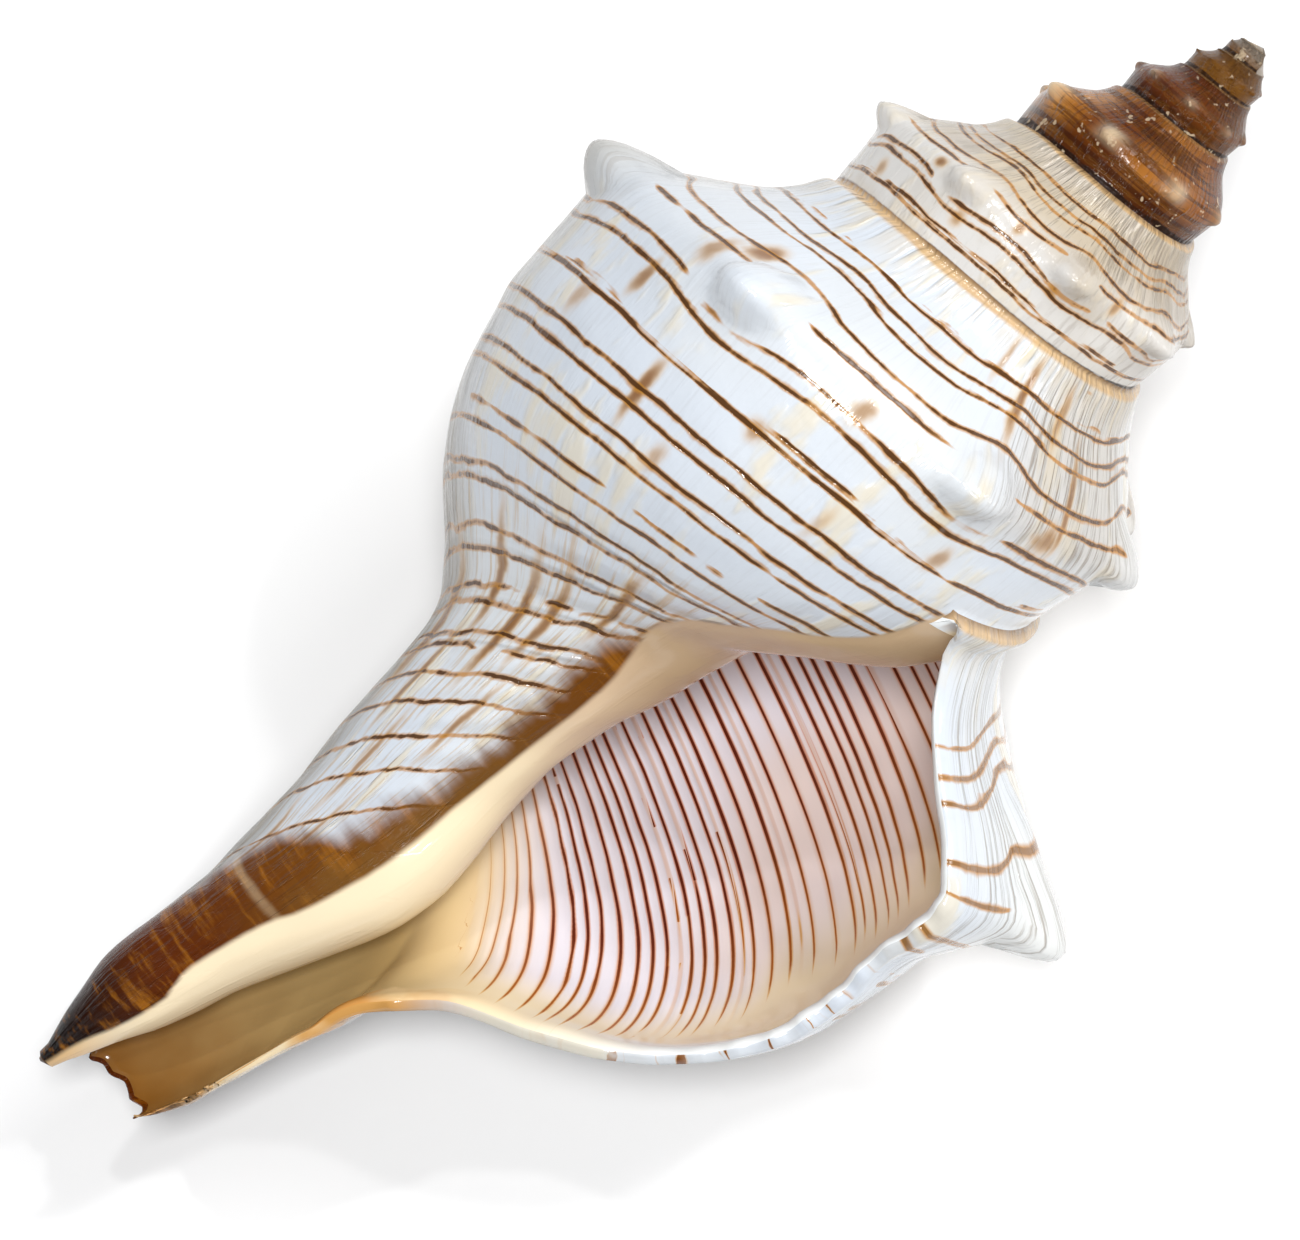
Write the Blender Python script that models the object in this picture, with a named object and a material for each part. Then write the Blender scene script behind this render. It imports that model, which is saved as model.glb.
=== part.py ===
"""A polished horse conch shell lying on its back, aperture up.

The shell is one closed solid: a thin wall coiled round its axis, open along the aperture and the canal.
Lengths in the shell's own frame are millimetres, and the mesh is written in metres.

A place on the shell is given by a turn and a station. Turn 0 is where the lip meets the whorl before it,
and turns before it are negative. The shell grows by GROWTH in each turn. A station is the distance down
the axis from the apex, divided by the size of the shell at that turn, so one station is the same place
on every whorl.
"""

import math

import bmesh
import bpy
import mathutils
import numpy as np

# Growth of the whole shell
GROWTH = 1.78
LIP_AZIMUTH = 46.0
FIRST_TURN = -6.0

# Worn apex, slight bend of the axis, and the end of the canal
APEX_RISE = 3.9
APEX_FADE = 7.6
BEND_SIDE = 4.0
BEND_DEPTH = 3.81
BEND_MIDDLE = -72.4
BEND_HALF_LENGTH = 75.2
TIP_DROP = 149.6
CANAL_END_RISE = 3.2
BLUNT_LIP_SIDE = 5.5

# Turns from which the lip is drawn in, and from which the spire gets slightly stouter
TUCK_TURN = -0.6
TUCK_TURNS = 0.45
STOUT_TURN = -1.3
STOUT_TURNS = 0.5

# Wall and depth of the hollow
WALL = 2.4
WALL_AT_TIP = 0.8
WALL_THINS_DROP = 118.0
WALL_THINS_LENGTH = 28.0
SLOPE_REACH = 0.05
HOLLOW_TURNS = 0.5
CLOSING_TURNS = 0.10
LIP_ROUNDING = 1.0
TIP_ROUNDING = 0.8

# Stations where one whorl meets the next, outside and inside, and where the neck starts
SUTURE = 52.9
INNER_SUTURE = 55.6
NECK = 141.0

# Knobs on the shoulder
KNOB_STATION = 74.4
KNOB_HEIGHT = 7.4
KNOB_HALF_TURN = 0.031
KNOB_RISE = 4.6
KNOB_FALL = 4.5
KNOB_TRAIL = 13.0
TRAIL_SHARE = 0.4
LAST_KNOB_TURN = -0.2
LAST_KNOB_TURNS = 0.06
LAST_KNOB_EXTRA = 1.6
LAST_KNOB_SHIFT = 3.2
WORN_SHARE = 0.17
WORN_TURN = -0.3135
WORN_HALF_TURN = 0.12
KNOB_TURNS = [
    -0.114, -0.247, -0.38, -0.514, -0.647, -0.794, -0.944, -1.10, -1.20,
    -1.315, -1.43, -1.545, -1.653, -1.789, -1.91, -2.035, -2.167,
]
EARLY_KNOB_STEP = 0.13
EARLY_KNOBS = 30

# Fold on the pillar at the top of the canal
FOLD_HEIGHT = 5.2
FOLD_TURN = -1.07
FOLD_HALF_TURN = 0.17
FOLD_DROP = 112.0
FOLD_HALF_DROP = 14.5

# The pillar is more slender deep in the canal
SLENDER_SHARE = 0.55
SLENDER_TURN = -1.05
SLENDER_TURNS = 0.2
SLENDER_DROP = 136.0
SLENDER_LENGTH = 12.0

# Mesh rows round one turn, and columns down the wall
ROWS_PER_TURN = 48
WHORL_STATIONS = [SUTURE, 54.0, 58.5, 64.0, 68.0, 71.2, 74.4, 80.0, 87.0, SUTURE * GROWTH]
LOWER_STATIONS = [104.0, 108.5, 113.0, 117.5, 122.0, 127.0, 133.0, NECK]
LIP_STEPS = 3
CANAL_STEPS = 6
ROUNDING_COLUMNS = 3
APEX_DOME = 0.0012
PILLAR_CONE = 0.0006

# How the shell lies on the floor
PITCH = -12.71
ROLL = 16.27
WELD = 2e-6

GLAZE_COLOUR = (0.88, 0.84, 0.76, 1.0)
GLAZE_ROUGHNESS = 0.15


def smooth_curve(*knots):
    """A curve through the knots that rises and falls only where they do."""
    at, values = np.array(knots, float).T
    step = np.diff(at)
    slope = np.diff(values) / step
    turning = slope[:-1] * slope[1:] <= 0
    total = np.where(turning, 1.0, slope[:-1] + slope[1:])
    inner = np.where(turning, 0.0, 2 * slope[:-1] * slope[1:] / total)
    tangent = np.concatenate([slope[:1], inner, slope[-1:]])

    def value(x):
        x = np.clip(x, at[0], at[-1])
        i = np.clip(np.searchsorted(at, x) - 1, 0, len(step) - 1)
        t = (x - at[i]) / step[i]
        start = (1 + 2 * t) * (1 - t) ** 2 * values[i] + t * (1 - t) ** 2 * step[i] * tangent[i]
        end = t * t * (3 - 2 * t) * values[i + 1] + t * t * (t - 1) * step[i] * tangent[i + 1]
        return start + end

    return value


def ease(t):
    t = np.clip(t, 0.0, 1.0)
    return t * t * (3 - 2 * t)


def bell(x):
    return np.exp(-np.square(x))


# Radius of the wall at each station: suture, ramp, shoulder, belly, base and canal
profile = smooth_curve(
    (52.9, 26.3), (53.8, 28.4), (57, 30.2), (60.5, 32.8), (64.5, 37.4), (68.7, 42.4), (72.5, 45.6),
    (76, 47.3), (80, 48.0), (86, 47.6), (94.2, 46.8), (100.5, 45.1), (107.3, 42.3), (112.5, 38.9),
    (117, 34.7), (121, 29.6), (125, 24.6), (129, 20.2), (133, 18.2), (138, 17.0), (152, 14.4),
    (159, 12.6), (166, 11.2), (179, 8.8), (192, 8.5), (235, 7.6), (310, 6.4), (620, 5.0),
)
# Turn at which the lip ends, and how far the wall is drawn in just behind it
lip_turn = smooth_curve(
    (52.9, 0), (58, -0.03), (64, -0.043), (70, -0.048), (77, -0.055), (83, -0.063), (90, -0.07),
    (105, -0.072), (118, -0.062), (128, -0.05), (141, -0.055),
)
lip_tuck = smooth_curve(
    (52.9, 0), (54.5, 0.05), (57, 0.11), (62, 0.10), (67, 0.03), (71, 0), (76, 0.035), (82, 0.075),
    (88, 0.06), (94, 0.055), (100, 0.07), (105, 0.10), (110, 0.15), (115, 0.245), (120, 0.355),
    (125, 0.345), (131, 0.22), (142, 0.19),
)
# The wall is thinner near the suture and towards the canal end
wall_share = smooth_curve((52.9, 0.35), (57, 0.5), (62, 0.8), (68, 1))
# Changes with the drop below the apex: a slightly stouter spire, and a narrowing canal end
spire_extra = smooth_curve((0, 0.9), (10, 1.0), (30, 1.1), (42, 0.3), (50, 0))
end_taper = smooth_curve((135, 1), (139, 0.94), (144, 0.64), (149, 0.26))


def knobs(turn, station):
    """Height of the nearest knob: steep above, trailing down the whorl below."""
    early = [KNOB_TURNS[-1] - EARLY_KNOB_STEP * k for k in range(1, EARLY_KNOBS)]
    away = np.min([np.abs(turn - knob) for knob in KNOB_TURNS + early], axis=0)
    # The top of a knob is one mesh row wide, so that a row always reaches it
    away = np.maximum(away - 0.5 / ROWS_PER_TURN, 0)
    last = ease((turn - LAST_KNOB_TURN) / LAST_KNOB_TURNS)
    below = station - KNOB_STATION + LAST_KNOB_SHIFT * last
    trail = (1 - TRAIL_SHARE) * bell(below / KNOB_FALL) + TRAIL_SHARE * bell(below / KNOB_TRAIL)
    along = np.where(below < 0, bell(below / KNOB_RISE), trail)
    # The two knobs that the shell lies on are worn a little lower
    worn = 1 - WORN_SHARE * bell((turn - WORN_TURN) / WORN_HALF_TURN)
    height = (KNOB_HEIGHT + LAST_KNOB_EXTRA * last) * worn
    return height * bell(away / KNOB_HALF_TURN) * along


def outer_radius(turn, drop, with_knobs=True):
    """Radius of the outside at a turn, this far down the axis."""
    turn = np.asarray(turn, float)
    size = GROWTH**turn
    station = drop / size
    radius = size * (profile(station) + with_knobs * knobs(turn, station))
    radius = radius * (1 - ease((turn - TUCK_TURN) / TUCK_TURNS) * lip_tuck(station))
    fold = bell((turn - FOLD_TURN) / FOLD_HALF_TURN) * bell((drop - FOLD_DROP) / FOLD_HALF_DROP)
    spire = spire_extra(drop) * (1 - ease((turn - STOUT_TURN) / STOUT_TURNS))
    blunt = BLUNT_LIP_SIDE * ease((turn - TUCK_TURN) / TUCK_TURNS)
    inward = ease((SLENDER_TURN - turn) / SLENDER_TURNS)
    slender = 1 - SLENDER_SHARE * inward * ease((drop - SLENDER_DROP) / SLENDER_LENGTH)
    return (radius + FOLD_HEIGHT * fold + spire) * end_taper(drop - blunt) * slender


def inner_wall(turn, drop):
    """Drop and radius of the inside, one wall thickness in from the outside."""
    radius = outer_radius(turn, drop, with_knobs=False)
    ahead = outer_radius(turn, drop + SLOPE_REACH, with_knobs=False)
    behind = outer_radius(turn, drop - SLOPE_REACH, with_knobs=False)
    slope = (ahead - behind) / (2 * SLOPE_REACH)
    thinner = ease((drop - WALL_THINS_DROP) / WALL_THINS_LENGTH)
    thickness = WALL + (WALL_AT_TIP - WALL) * thinner
    thickness = thickness * wall_share(drop / GROWTH**turn)
    across = np.sqrt(1 + slope * slope)
    return drop + thickness * slope / across, radius - thickness / across


def place(turn, drop, radius):
    """Point in the shell's frame: apex up, aperture towards -Y. The axis bends slightly."""
    azimuth = np.radians(360 * np.asarray(turn, float) + LIP_AZIMUTH)
    height = APEX_RISE * np.exp(-drop / APEX_FADE) - drop
    bend = BEND_SIDE - BEND_DEPTH * ((height - BEND_MIDDLE) / BEND_HALF_LENGTH) ** 2
    return np.stack(
        np.broadcast_arrays(radius * np.cos(azimuth) + bend, -radius * np.sin(azimuth), height), -1
    )


def on_outside(turn, drop):
    return place(turn, drop, outer_radius(turn, drop))


# Columns of the wall, from the suture to the end of the canal
between = np.linspace(SUTURE, INNER_SUTURE, LIP_STEPS + 1)[1:] * GROWTH
stations = np.concatenate(
    [WHORL_STATIONS, between, LOWER_STATIONS, np.full(CANAL_STEPS, NECK)]
)
canal_part = np.zeros(len(stations))
canal_part[-CANAL_STEPS:] = np.arange(1, CANAL_STEPS + 1) / CANAL_STEPS
columns = np.arange(len(stations))
last_column = len(WHORL_STATIONS) - 1
first_pillar_column = last_column + LIP_STEPS
lip_end = lip_turn(stations)


def drops(turn):
    """Drop of each column at a turn."""
    drop = stations * GROWTH**turn
    end = TIP_DROP - CANAL_END_RISE * ease((turn - TUCK_TURN) / TUCK_TURNS)
    return drop + (end - drop) * canal_part


# Outside of the spire. Its first column lies on the whorl before it
spire = []
for row in range(round((-1 - FIRST_TURN) * ROWS_PER_TURN) + 1):
    turn = FIRST_TURN + row / ROWS_PER_TURN
    points = on_outside(turn, drops(turn)[: last_column + 1])
    points[0] = on_outside(turn - 1, SUTURE * GROWTH**turn)
    spire.append(points)

# Outside of the last whorl, as far as the lip
body = []
for row in range(ROWS_PER_TURN + 1):
    turn = -1 + row / ROWS_PER_TURN * (1 + lip_end)
    points = on_outside(turn, drops(turn))
    points[0] = on_outside(turn[0] - 1, SUTURE * GROWTH ** turn[0])
    body.append(points)

# Pillar: the whorl before, seen inside the hollow
hollow_rows = round(HOLLOW_TURNS * ROWS_PER_TURN)
pillar_drops = []
pillar = []
for row in range(hollow_rows + 1):
    turn = -1 - HOLLOW_TURNS + row / ROWS_PER_TURN
    pillar_drops.append(drops(np.full(len(stations), turn))[first_pillar_column:])
    pillar.append(on_outside(turn, pillar_drops[-1]))

# Inside of the last whorl. It closes on the pillar deep in the hollow
pillar_columns = columns * (len(pillar_drops[0]) - 1) / (len(columns) - 1)
inside = []
for row in range(hollow_rows + 1):
    turn = -HOLLOW_TURNS + row / hollow_rows * (HOLLOW_TURNS + lip_end)
    nearest = pillar_columns if row else np.round(pillar_columns)
    met_drop = np.interp(nearest, np.arange(len(pillar_drops[row])), pillar_drops[row])
    open_share = ease(row / ROWS_PER_TURN / CLOSING_TURNS)
    closed = on_outside(turn - 1, met_drop)
    points = closed + (place(turn, *inner_wall(turn, drops(turn))) - closed) * open_share
    points[0] = on_outside(turn[0] - 1, INNER_SUTURE * GROWTH ** turn[0])
    inside.append(points)

# Rounded edge of the lip, from the outside to the inside
azimuth = np.radians(360 * lip_end + LIP_AZIMUTH)
forward = np.stack([-np.sin(azimuth), -np.cos(azimuth), np.zeros(len(columns))], -1)
from_ends = np.minimum(1, np.minimum(columns, columns[::-1]) / ROUNDING_COLUMNS)
lip = []
for part in np.linspace(0, 1, LIP_STEPS + 1):
    bulge = LIP_ROUNDING * math.sin(math.pi * part) * from_ends
    points = body[-1] + (inside[-1] - body[-1]) * part + forward * bulge[:, None]
    points[0] = on_outside(-1.0, SUTURE + (INNER_SUTURE - SUTURE) * part)
    lip.append(points)

# Rounded end of the canal
outer_end = np.array(body)[-hollow_rows - 1 :, -1]
inner_end = np.array(inside)[:, -1]
from_lip = np.minimum(1, np.arange(hollow_rows, -1, -1) / ROUNDING_COLUMNS)
canal_end = []
for part in np.linspace(0, 1, LIP_STEPS + 1):
    points = outer_end + (inner_end - outer_end) * part
    points[:, 2] -= TIP_ROUNDING * math.sin(math.pi * part) * from_lip
    canal_end.append(points)

for old in list(bpy.data.objects):
    bpy.data.objects.remove(old)

# Each sheet is a grid laid on its points. Welding the edges closes the shell, bar the two ends
bm = bmesh.new()
for sheet in (spire, body, pillar, inside, lip, canal_end):
    points = np.array(sheet)
    rows, across = points.shape[0] - 1, points.shape[1] - 1
    grid = bmesh.ops.create_grid(bm, x_segments=rows, y_segments=across, size=1.0)
    for vert in grid["verts"]:
        row = round((vert.co.x + 1) / 2 * rows)
        column = round((vert.co.y + 1) / 2 * across)
        vert.co = points[row, column] / 1000
bmesh.ops.remove_doubles(bm, verts=bm.verts, dist=WELD)

# A dome closes the apex, and a small cone closes the end of the pillar
open_edges = [edge for edge in bm.edges if edge.is_boundary]
ends = bmesh.ops.holes_fill(bm, edges=open_edges, sides=0)["faces"]
for centre in bmesh.ops.poke(bm, faces=ends)["verts"]:
    at_apex = centre.co.z > -TIP_DROP / 2 / 1000
    centre.co.z += APEX_DOME if at_apex else -PILLAR_CONE
bmesh.ops.recalc_face_normals(bm, faces=bm.faces)

# Lays the shell down: apex towards +X, aperture up, then settled by its pitch and roll
lay = mathutils.Matrix(((0, 0, 1), (-1, 0, 0), (0, -1, 0))).to_4x4()
settle = mathutils.Matrix.Rotation(math.radians(ROLL), 4, "X") @ mathutils.Matrix.Rotation(
    math.radians(PITCH), 4, "Y"
)
bmesh.ops.transform(bm, matrix=settle @ lay, verts=bm.verts)
low = np.min([vert.co for vert in bm.verts], axis=0)
high = np.max([vert.co for vert in bm.verts], axis=0)
middle = (low + high) / 2
bmesh.ops.translate(bm, vec=(-middle[0], -middle[1], -low[2]), verts=bm.verts)

mesh = bpy.data.meshes.new("shell")
bm.to_mesh(mesh)
bm.free()
mesh.shade_smooth()

glaze = bpy.data.materials.new("shell")
glaze.use_nodes = True
surface = glaze.node_tree.nodes["Principled BSDF"]
surface.inputs["Base Color"].default_value = GLAZE_COLOUR
surface.inputs["Roughness"].default_value = GLAZE_ROUGHNESS
surface.inputs["Metallic"].default_value = 0.0
mesh.materials.append(glaze)

shell = bpy.data.objects.new("shell", mesh)
bpy.context.scene.collection.objects.link(shell)
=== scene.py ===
"""A polished horse conch shell lying on a pale studio floor, its mouth turned up."""

import math

import bmesh
import bpy
import numpy as np
from mathutils import Matrix, Vector, noise


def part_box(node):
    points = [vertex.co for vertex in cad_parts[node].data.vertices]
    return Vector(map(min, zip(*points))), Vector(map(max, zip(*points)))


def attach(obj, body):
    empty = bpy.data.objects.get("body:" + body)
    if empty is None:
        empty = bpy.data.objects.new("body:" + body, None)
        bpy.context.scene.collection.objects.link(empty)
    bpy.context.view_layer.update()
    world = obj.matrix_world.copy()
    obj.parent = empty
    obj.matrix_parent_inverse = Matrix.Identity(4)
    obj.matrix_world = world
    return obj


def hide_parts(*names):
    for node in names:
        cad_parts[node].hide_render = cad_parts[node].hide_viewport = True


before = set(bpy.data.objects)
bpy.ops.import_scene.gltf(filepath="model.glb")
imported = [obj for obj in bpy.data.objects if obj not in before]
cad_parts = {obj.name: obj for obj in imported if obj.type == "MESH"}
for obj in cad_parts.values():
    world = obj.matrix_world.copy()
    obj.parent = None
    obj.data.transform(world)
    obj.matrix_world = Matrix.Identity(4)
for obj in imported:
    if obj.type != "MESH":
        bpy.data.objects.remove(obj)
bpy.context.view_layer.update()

# Wall of the shell. The animal lays it down turn by turn as one thin wall of hard, chalky
# mineral that coils round its own axis, and the finished shell is ground smooth and polished.
# A place on it is given by a turn, 0 at the lip and negative before it, and by a station,
# the distance in millimetres down the axis divided by the size of the shell at that turn.
GROWTH = 1.78
LIP_AZIMUTH = 46.0
FIRST_TURN = -6
ROWS_PER_TURN = 160

SUTURE = 52.9
INNER_SUTURE = 55.6
NECK = 141.0
TIP_DROP = 149.6
CANAL_END_RISE = 3.2

KNOB_STATION = 74.4
KNOB_HEIGHT = 7.4
KNOB_HALF_TURN = 0.031
KNOB_TOP_HALF_TURN = 0.5 / 48
KNOB_RISE = 4.6
KNOB_FALL = 4.5
KNOB_TRAIL = 13.0
TRAIL_SHARE = 0.4
LAST_KNOB_TURN = -0.2
LAST_KNOB_TURNS = 0.06
LAST_KNOB_EXTRA = 1.6
LAST_KNOB_SHIFT = 3.2
WORN_SHARE = 0.17
WORN_TURN = -0.3135
WORN_HALF_TURN = 0.12
PEARL_HEIGHT = 5.0
PEARL_HALF_TURN = 0.021
PEARL_HALF_STATION = 6.2
EARLY_KNOBS_LOWER = 0.35
EARLY_KNOBS_TURN = -2.3
EARLY_KNOBS_TURNS = 0.8
KNOB_TURNS = [
    -0.114, -0.247, -0.38, -0.514, -0.647, -0.794, -0.944, -1.10, -1.20,
    -1.315, -1.43, -1.545, -1.653, -1.789, -1.91, -2.035, -2.167,
]
EARLY_KNOB_STEP = 0.13
EARLY_KNOBS = 30

LAST_STRETCH_TURN = -0.6
LAST_STRETCH_TURNS = 0.45
FOLD_HEIGHT = 5.2
FOLD_TURN = -1.07
FOLD_HALF_TURN = 0.17
FOLD_DROP = 112.0
FOLD_HALF_DROP = 14.5
BLUNTER_AT_LIP = 5.5
PILLAR_THINNER = 0.55


def smooth_curve(*knots):
    """A curve through the knots that rises and falls only where they do."""
    at, values = np.array(knots, float).T
    step = np.diff(at)
    slope = np.diff(values) / step
    turning = slope[:-1] * slope[1:] <= 0
    total = np.where(turning, 1.0, slope[:-1] + slope[1:])
    inner = np.where(turning, 0.0, 2 * slope[:-1] * slope[1:] / total)
    tangent = np.concatenate([slope[:1], inner, slope[-1:]])

    def value(x):
        x = np.clip(x, at[0], at[-1])
        i = np.clip(np.searchsorted(at, x) - 1, 0, len(step) - 1)
        t = (x - at[i]) / step[i]
        start = (1 + 2 * t) * (1 - t) ** 2 * values[i] + t * (1 - t) ** 2 * step[i] * tangent[i]
        end = t * t * (3 - 2 * t) * values[i + 1] + t * t * (t - 1) * step[i] * tangent[i + 1]
        return start + end

    return value


def ease(t):
    t = np.clip(t, 0.0, 1.0)
    return t * t * (3 - 2 * t)


def bell(x):
    return np.exp(-np.square(x))


def towards_lip(turn):
    """0 before the last stretch of growth and 1 at the lip, where the shell changes its shape."""
    return ease((turn - LAST_STRETCH_TURN) / LAST_STRETCH_TURNS)


# Radius of the wall at each station: suture, ramp, shoulder, belly, base and canal
profile = smooth_curve(
    (52.9, 26.3), (53.8, 28.4), (57, 30.2), (60.5, 32.8), (64.5, 37.4), (68.7, 42.4), (72.5, 45.6),
    (76, 47.3), (80, 48.0), (86, 47.6), (94.2, 46.8), (100.5, 45.1), (107.3, 42.3), (112.5, 38.9),
    (117, 34.7), (121, 29.6), (125, 24.6), (129, 20.2), (133, 18.2), (138, 17.0), (152, 14.4),
    (159, 12.6), (166, 11.2), (179, 8.8), (192, 8.5), (235, 7.6), (310, 6.4), (620, 5.0),
)
# Turn at which the lip ends, and how far the wall is drawn in just behind it
lip_turn = smooth_curve(
    (52.9, 0), (58, -0.03), (64, -0.043), (70, -0.048), (77, -0.055), (83, -0.063), (90, -0.07),
    (105, -0.072), (118, -0.062), (128, -0.05), (141, -0.055),
)
lip_tuck = smooth_curve(
    (52.9, 0), (54.5, 0.05), (57, 0.11), (62, 0.10), (67, 0.03), (71, 0), (76, 0.035), (82, 0.075),
    (88, 0.06), (94, 0.055), (100, 0.07), (105, 0.10), (110, 0.15), (115, 0.245), (120, 0.355),
    (125, 0.345), (131, 0.22), (142, 0.19),
)
# Changes with the drop below the apex: a slightly stouter spire, and a narrowing canal end
spire_extra = smooth_curve((0, 0.9), (10, 1.0), (30, 1.1), (42, 0.3), (50, 0))
end_taper = smooth_curve((135, 1), (139, 0.94), (144, 0.64), (149, 0.26))

# Turn where the callus ends on the pillar, by the drop: a thin extra layer the animal glazed on
callus_edge = smooth_curve(
    (52.9, -1.003), (54.5, -0.998), (58, -0.993), (61.2, -0.985), (64, -0.97), (67, -0.95), (70, -0.935),
    (73.6, -0.907), (76.4, -0.897), (80, -0.912), (84, -0.93), (96, -0.947), (110, -0.947), (120, -0.93),
    (124, -0.905), (128, -0.892), (132, -0.887), (134, -0.90), (136, -0.93), (138, -0.935), (142, -0.925),
    (146, -0.89), (149.6, -0.87),
)
CALLUS = 0.3
CALLUS_SLOPE = 1.6


def near_knob(turn):
    """Turns to the nearest knob."""
    early = [KNOB_TURNS[-1] - EARLY_KNOB_STEP * k for k in range(1, EARLY_KNOBS)]
    return np.min([np.abs(turn - knob) for knob in KNOB_TURNS + early], axis=0)


def knobs(turn, station):
    """Height of the nearest knob: a round top on a foot that is steep above and trails down below."""
    away = np.maximum(near_knob(turn) - KNOB_TOP_HALF_TURN, 0)
    last = ease((turn - LAST_KNOB_TURN) / LAST_KNOB_TURNS)
    below = station - KNOB_STATION + LAST_KNOB_SHIFT * last
    trail = (1 - TRAIL_SHARE) * bell(below / KNOB_FALL) + TRAIL_SHARE * bell(below / KNOB_TRAIL)
    along = np.where(below < 0, bell(below / KNOB_RISE), trail)
    worn = 1 - WORN_SHARE * bell((turn - WORN_TURN) / WORN_HALF_TURN)
    early = 1 - EARLY_KNOBS_LOWER * ease((EARLY_KNOBS_TURN - turn) / EARLY_KNOBS_TURNS)
    height = (KNOB_HEIGHT + LAST_KNOB_EXTRA * last) * worn
    dome = 1 - (near_knob(turn) / PEARL_HALF_TURN) ** 2 - (below / PEARL_HALF_STATION) ** 2
    pearl = PEARL_HEIGHT * np.maximum(dome, 0) ** 0.75
    return early * ((height - PEARL_HEIGHT) * bell(away / KNOB_HALF_TURN) * along + pearl)


def outer_radius(turn, drop, with_knobs=True):
    """Radius of the outside at a turn, this far down the axis."""
    turn = np.asarray(turn, float)
    size = GROWTH**turn
    station = drop / size
    radius = size * (profile(station) + with_knobs * knobs(turn, station))
    radius = radius * (1 - towards_lip(turn) * lip_tuck(station))
    fold = bell((turn - FOLD_TURN) / FOLD_HALF_TURN) * bell((drop - FOLD_DROP) / FOLD_HALF_DROP)
    spire = spire_extra(drop) * (1 - ease((turn + 1.3) / 0.5))
    blunt = BLUNTER_AT_LIP * towards_lip(turn)
    slender = 1 - PILLAR_THINNER * ease((-1.05 - turn) / 0.2) * ease((drop - 136) / 12)
    round_mm = 2 * math.pi * np.maximum(radius, 1)
    callus = ease((callus_edge(drop) - turn) * round_mm / CALLUS_SLOPE) * ease((drop - SUTURE) / 3)
    callus = CALLUS * callus * ease((-0.55 - turn) / 0.1) * ease((142 - drop) / 6)
    return (radius + FOLD_HEIGHT * fold + spire) * end_taper(drop - blunt) * slender + callus


def place(turn, drop, radius):
    """Point in the shell's frame, in millimetres: apex up, mouth towards -Y. The axis bends slightly."""
    azimuth = np.radians(360 * np.asarray(turn, float) + LIP_AZIMUTH)
    height = 3.9 * np.exp(-drop / 7.6) - drop
    bend = 4.0 - 3.81 * ((height + 72.4) / 75.2) ** 2
    return np.stack(
        np.broadcast_arrays(radius * np.cos(azimuth) + bend, -radius * np.sin(azimuth), height), -1
    )


def on_outside(turn, drop):
    return place(turn, drop, outer_radius(turn, drop))


def stretch(counts, *stops):
    """Stations between the stops, with that many steps in each stretch."""
    pieces = [np.linspace(a, b, n, endpoint=False) for a, b, n in zip(stops, stops[1:], counts)]
    return np.concatenate(pieces + [stops[-1:]])


LIP_STEPS = 6
CANAL_STEPS = 44
CHIP_TURNS = [
    -0.5, -0.44, -0.425, -0.38, -0.36, -0.33, -0.3, -0.28, -0.24, -0.22, -0.16, -0.13, -0.1, -0.06,
]
CHIP_DEPTHS = [0.0, 1.2, 0.3, 0.6, 1.9, 1.5, 0.2, 0.9, 0.4, 1.1, 0.5, 1.4, 1.0, 0.3]
CHIPPED_TURNS = 0.09
WAVE_TURNS = 0.0014
WAVE_ANGLE = 1.65

whorl_stations = stretch((4, 44), SUTURE, 54.4, SUTURE * GROWTH)
between = np.linspace(SUTURE, INNER_SUTURE, LIP_STEPS + 1)[1:] * GROWTH
lower_stations = stretch((66,), between[-1], NECK)[1:]
stations = np.concatenate(
    [whorl_stations, between, lower_stations, np.full(CANAL_STEPS, NECK)]
)
canal_part = np.zeros(len(stations))
canal_part[-CANAL_STEPS:] = np.arange(1, CANAL_STEPS + 1) / CANAL_STEPS
columns = np.arange(len(stations))
last_column = len(whorl_stations) - 1
first_pillar_column = last_column + LIP_STEPS

# The lip waves a little, and is chipped where it runs down the canal
waves = WAVE_TURNS * np.sin(stations * WAVE_ANGLE) * bell((stations - 88) / 22)
waves = waves * ease((stations - SUTURE) / 6)
chips = np.array([noise.noise((column * 0.9, 5.1, 0.0)) for column in columns])
lip_end = lip_turn(stations) + waves + CHIPPED_TURNS * chips * canal_part * (1 - canal_part)


def chipped(turn):
    """How far the far wall of the canal's end is broken back, in millimetres."""
    broken = np.interp(turn, CHIP_TURNS, CHIP_DEPTHS)
    return broken * ease((turn + 0.56) / 0.08)


def drops(turn):
    """Drop of each column at a turn."""
    drop = stations * GROWTH**turn
    end = TIP_DROP - CANAL_END_RISE * towards_lip(turn) - chipped(turn)
    return drop + (end - drop) * canal_part


sheets = []


def keep_sheet(points, turn, drop, outer):
    """Remembers one sheet of the wall: its points, where each lies on the shell, and which side it is."""
    shape = np.shape(points)[:2]
    sheets.append(
        (np.array(points), np.broadcast_to(turn, shape), np.broadcast_to(drop, shape), outer)
    )


spire_turns = np.linspace(FIRST_TURN, -1, (-1 - FIRST_TURN) * ROWS_PER_TURN + 1)[:, None]
spire_drops = whorl_stations * GROWTH**spire_turns
spire = on_outside(spire_turns, spire_drops)
spire[:, 0] = on_outside(spire_turns - 1, SUTURE * GROWTH**spire_turns)[:, 0]
keep_sheet(spire, spire_turns, spire_drops, 1)

body_turns = -1 + np.linspace(0, 1, ROWS_PER_TURN + 1)[:, None] * (1 + lip_end)
body_drops = drops(body_turns)
body = on_outside(body_turns, body_drops)
body[:, 0] = on_outside(body_turns - 1, SUTURE * GROWTH**body_turns)[:, 0]
keep_sheet(body, body_turns, body_drops, 1)

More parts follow.
